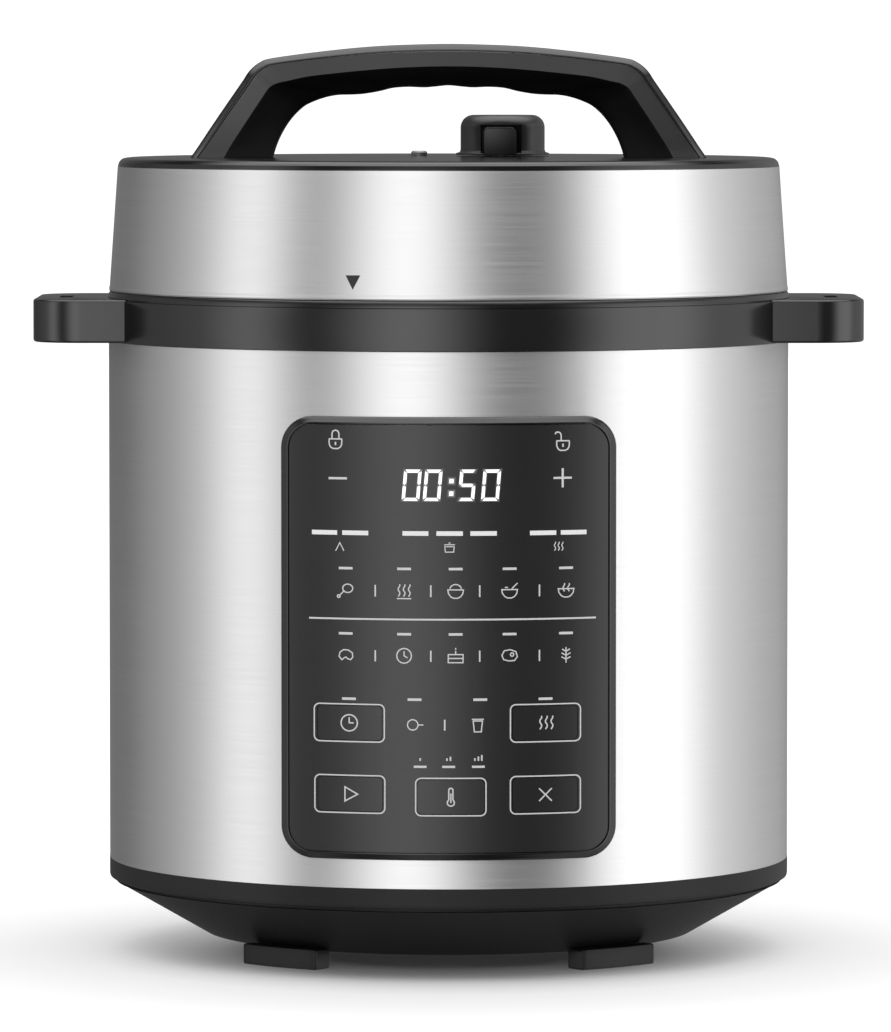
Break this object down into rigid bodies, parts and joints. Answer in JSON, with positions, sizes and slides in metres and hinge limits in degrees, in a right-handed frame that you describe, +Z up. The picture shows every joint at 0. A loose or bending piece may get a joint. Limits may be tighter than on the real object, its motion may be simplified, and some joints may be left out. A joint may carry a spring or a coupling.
{
  "type": "electric pressure cooker",
  "caption": "Electric pressure cooker: round steel body, bayonet lid with arched handle and steam release knob, curved front panel with a clock display and keys.",
  "frame": {"origin": "the plane the four feet stand on, on the vertical axis of the pot", "axes": "+Z up along the pot's axis, -Y towards the control panel, +X to the viewer's right when facing the panel"},
  "size_m": [0.3212, 0.2936, 0.3519],
  "materials": {
    "steel": "brushed around the circumference, satin",
    "base_black": "satin black",
    "feet_black": "matt black rubber",
    "collar_black": "satin dark grey",
    "lid_black": "satin dark grey",
    "knob_black": "satin black",
    "panel_black": "satin black",
    "panel_gloss": "smooth dark grey",
    "inner_steel": "satin",
    "pot_steel": "satin",
    "screw_steel": "zinc plated",
    "cast_alu": "cast and turned",
    "pcb": "solder mask",
    "led_white": "clear white",
    "brass_pin": "plated",
    "wire_red": "insulated wire",
    "cup_grey": "smoked clear",
    "silicone": "translucent white silicone",
    "silicone_red": "red silicone"
  },
  "bodies": {
    "base": {"outer_housing": "steel", "base_ring": "base_black", "base_cover": "base_black", "rubber_feet": "feet_black", "collar": "collar_black", "outer_pot": "inner_steel", "bayonet_ring": "inner_steel", "collar_screws": "screw_steel", "panel_bezel": "panel_black", "panel_overlay": "panel_gloss", "display_board": "pcb", "display_module": "panel_gloss", "status_leds": "led_white", "tact_switches": "base_black", "board_screws": "screw_steel", "power_board": "pcb", "board_components": "base_black", "power_board_screws": "screw_steel", "heating_plate": "cast_alu", "heating_tube": "inner_steel", "spring_plate": "inner_steel", "spring_plate_nuts": "screw_steel", "pressure_switch": "base_black", "sensor_housing": "inner_steel", "thermal_fuse": "cast_alu", "power_inlet": "base_black", "inlet_pins": "brass_pin", "support_posts": "inner_steel", "base_screws": "screw_steel", "cup_bracket": "collar_black", "wiring_harness": "wire_red"},
    "condensation_cup": {"condensation_cup": "cup_grey"},
    "key_delay_start": {"key_delay_start": "panel_gloss"},
    "key_keep_warm": {"key_keep_warm": "panel_gloss"},
    "key_start": {"key_start": "panel_gloss"},
    "key_temp_set": {"key_temp_set": "panel_gloss"},
    "key_cancel": {"key_cancel": "panel_gloss"},
    "thermal_sensor": {"thermal_sensor": "cast_alu", "sensor_spring": "screw_steel"},
    "inner_pot": {"inner_pot": "pot_steel"},
    "sealing_ring": {"sealing_ring": "silicone"},
    "lid": {"lid_top_cover": "lid_black", "lid_band": "steel", "handle_cover": "lid_black", "handle_grip": "lid_black", "handle_screws": "screw_steel", "inner_lid": "pot_steel", "lid_screws": "screw_steel", "ring_rack": "pot_steel", "vent_pipe": "inner_steel", "vent_nut": "inner_steel", "anti_block_shield": "pot_steel"},
    "valve_weight": {"valve_weight": "inner_steel"},
    "steam_release_knob": {"steam_release_knob": "knob_black"},
    "float_valve": {"float_pin": "inner_steel", "float_gasket": "silicone_red"}
  },
  "joints": [
    {"name": "lid_lift", "type": "slide", "parent": "base", "child": "sealing_ring", "axis": [0, 0, 1], "range_m": [0, 0.36]},
    {"name": "lid_turn", "type": "hinge", "parent": "sealing_ring", "child": "lid", "pos_m": [0, 0, 0.25], "axis": [0, 0, 1], "range_deg": [0, 34]},
    {"name": "pot_lift", "type": "slide", "parent": "base", "child": "inner_pot", "axis": [0, 0, 1], "range_m": [0, 0.18]},
    {"name": "valve_lift", "type": "slide", "parent": "lid", "child": "valve_weight", "axis": [0, 0, 1], "range_m": [0, 0.014]},
    {"name": "steam_release_turn", "type": "hinge", "parent": "valve_weight", "child": "steam_release_knob", "pos_m": [0.0214, 0.045, 0.316], "axis": [0, 0, 1], "range_deg": [0, 40]},
    {"name": "float_rise", "type": "slide", "parent": "lid", "child": "float_valve", "axis": [0, 0, 1], "range_m": [0, 0.0045]},
    {"name": "thermal_sensor_press", "type": "slide", "parent": "base", "child": "thermal_sensor", "axis": [0, 0, 1], "range_m": [-0.002, 0], "stiffness_N_per_m": 600, "deforming": ["sensor_spring"]},
    {"name": "cup_slide", "type": "slide", "parent": "base", "child": "condensation_cup", "axis": [0, 1, 0], "range_m": [0, 0.04]},
    {"name": "delay_start_press", "type": "slide", "parent": "base", "child": "key_delay_start", "axis": [0.2779, 0.9606, 0], "range_m": [0, 0.0005], "stiffness_N_per_m": 800},
    {"name": "keep_warm_press", "type": "slide", "parent": "base", "child": "key_keep_warm", "axis": [-0.2705, 0.9627, 0], "range_m": [0, 0.0005], "stiffness_N_per_m": 800},
    {"name": "start_press", "type": "slide", "parent": "base", "child": "key_start", "axis": [0.2765, 0.961, 0], "range_m": [0, 0.0005], "stiffness_N_per_m": 800},
    {"name": "temp_set_press", "type": "slide", "parent": "base", "child": "key_temp_set", "axis": [-0.006, 1, 0], "range_m": [0, 0.0005], "stiffness_N_per_m": 800},
    {"name": "cancel_press", "type": "slide", "parent": "base", "child": "key_cancel", "axis": [-0.2705, 0.9627, 0], "range_m": [0, 0.0005], "stiffness_N_per_m": 800}
  ],
  "couplings": [
    {"joint": "pot_lift", "follows": "lid_lift", "ratio": 0.5}
  ]
}
